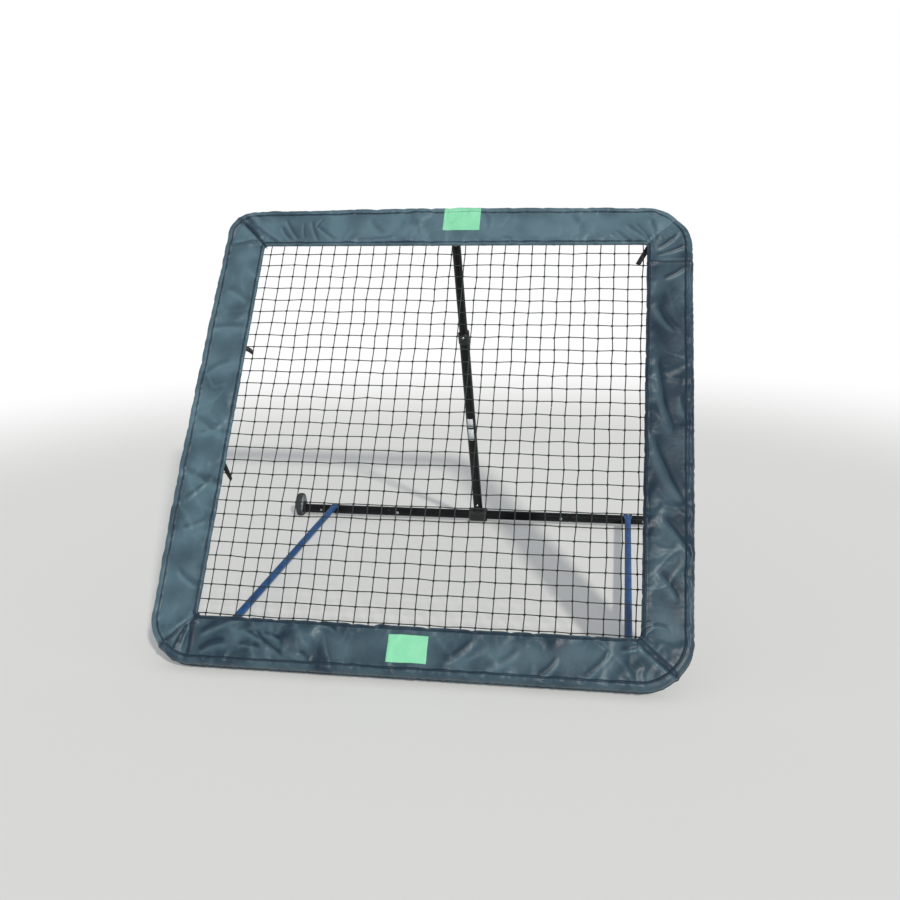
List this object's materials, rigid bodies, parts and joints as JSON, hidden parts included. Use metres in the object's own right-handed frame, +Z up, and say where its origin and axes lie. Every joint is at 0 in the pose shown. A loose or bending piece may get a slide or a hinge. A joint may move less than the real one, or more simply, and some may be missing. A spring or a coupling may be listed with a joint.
{
  "type": "pitch back rebounder",
  "caption": "Square net rebounder in a padded tube frame, leaning back on a telescoping rear leg and a low base with side bars and wheels at the rear.",
  "frame": {"origin": "on the ground under the middle of the whole footprint, between the bottom pad's front edge and the wheels' back edge", "axes": "+Z up, the net faces -Y and its top leans back towards +Y, +X to the right of someone who faces the net"},
  "size_m": [1.64, 1.6176, 1.3375],
  "materials": {
    "black_steel": "black powder coat",
    "blue_steel": "blue powder coat",
    "zinc": "bright zinc plate",
    "black_plastic": "moulded, matt",
    "grey_plastic": "moulded, matt",
    "tyre_rubber": "matt",
    "pad_cover": "coated slate blue cloth over foam",
    "net_cord": "dark green braided cord",
    "webbing": "black webbing"
  },
  "bodies": {
    "base": {"axle_caps": "black_plastic", "axle_pin_left": "zinc", "axle_pin_right": "zinc", "axle_washers": "zinc", "base_bar_centre": "black_steel", "base_bar_left": "black_steel", "base_bar_right": "black_steel", "base_joint_bolts": "zinc", "base_joint_nuts": "zinc", "side_bar_bolts": "zinc", "side_bar_left": "blue_steel", "side_bar_nuts": "zinc", "side_bar_right": "blue_steel", "side_eye_left": "black_plastic", "side_eye_right": "black_plastic", "side_eye_screws": "zinc", "wheel_bracket_left": "black_plastic", "wheel_bracket_right": "black_plastic", "wheel_bracket_screws": "zinc"},
    "frame": {"frame_joint_bolts": "zinc", "frame_joint_nuts": "zinc", "frame_tube_bottom_left": "black_steel", "frame_tube_bottom_right": "black_steel", "frame_tube_top_left": "black_steel", "frame_tube_top_right": "black_steel", "net": "net_cord", "net_border_rope": "net_cord", "net_loops": "webbing", "pad_bottom": "pad_cover", "pad_keepers": "webbing", "pad_left": "pad_cover", "pad_right": "pad_cover", "pad_top": "pad_cover", "strap_tab_left": "webbing", "strap_tail_left": "webbing", "strap_tail_top_right": "webbing"},
    "leg_lower": {"leg_foot_eye": "black_plastic", "leg_lower_tube": "black_steel", "foot_eye_screw": "zinc", "leg_bush": "black_plastic", "leg_collar": "black_plastic", "collar_screw": "zinc"},
    "leg_upper": {"leg_upper_tube": "black_steel", "leg_glide": "black_plastic", "leg_top_eye": "black_plastic", "top_eye_screw": "zinc"},
    "clamp_knob": {"clamp_knob": "black_plastic", "knob_stud": "zinc"},
    "wheel_left": {"wheel_hub_left": "grey_plastic", "wheel_tyre_left": "tyre_rubber"},
    "wheel_right": {"wheel_hub_right": "grey_plastic", "wheel_tyre_right": "tyre_rubber"}
  },
  "joints": [
    {"name": "frame_tilt", "type": "hinge", "parent": "base", "child": "frame", "pos_m": [0, -0.7592, 0.04229], "axis": [-1, 0, 0], "range_deg": [-7, 7]},
    {"name": "leg_swing", "type": "hinge", "parent": "base", "child": "leg_lower", "pos_m": [0, 0.7588, 0.033], "axis": [-1, 0, 0], "range_deg": [-3.8, 3.8]},
    {"name": "leg_extend", "type": "slide", "parent": "leg_lower", "child": "leg_upper", "axis": [0, -0.419, 0.908], "range_m": [-0.17, 0.17]},
    {"name": "knob_turn", "type": "hinge", "parent": "leg_lower", "child": "clamp_knob", "pos_m": [0, 0.38005, 0.85383], "axis": [0, 0.908, 0.419], "range_deg": [-360, 0]},
    {"name": "wheel_left_spin", "type": "hinge", "parent": "base", "child": "wheel_left", "pos_m": [-0.7993, 0.7588, 0.05], "axis": [1, 0, 0], "continuous": true},
    {"name": "wheel_right_spin", "type": "hinge", "parent": "base", "child": "wheel_right", "pos_m": [0.7993, 0.7588, 0.05], "axis": [1, 0, 0], "continuous": true}
  ],
  "couplings": [
    {"joint": "leg_swing", "follows": "frame_tilt", "ratio": 0.5338},
    {"joint": "leg_extend", "follows": "frame_tilt", "m_per_rad": -1.3744}
  ]
}
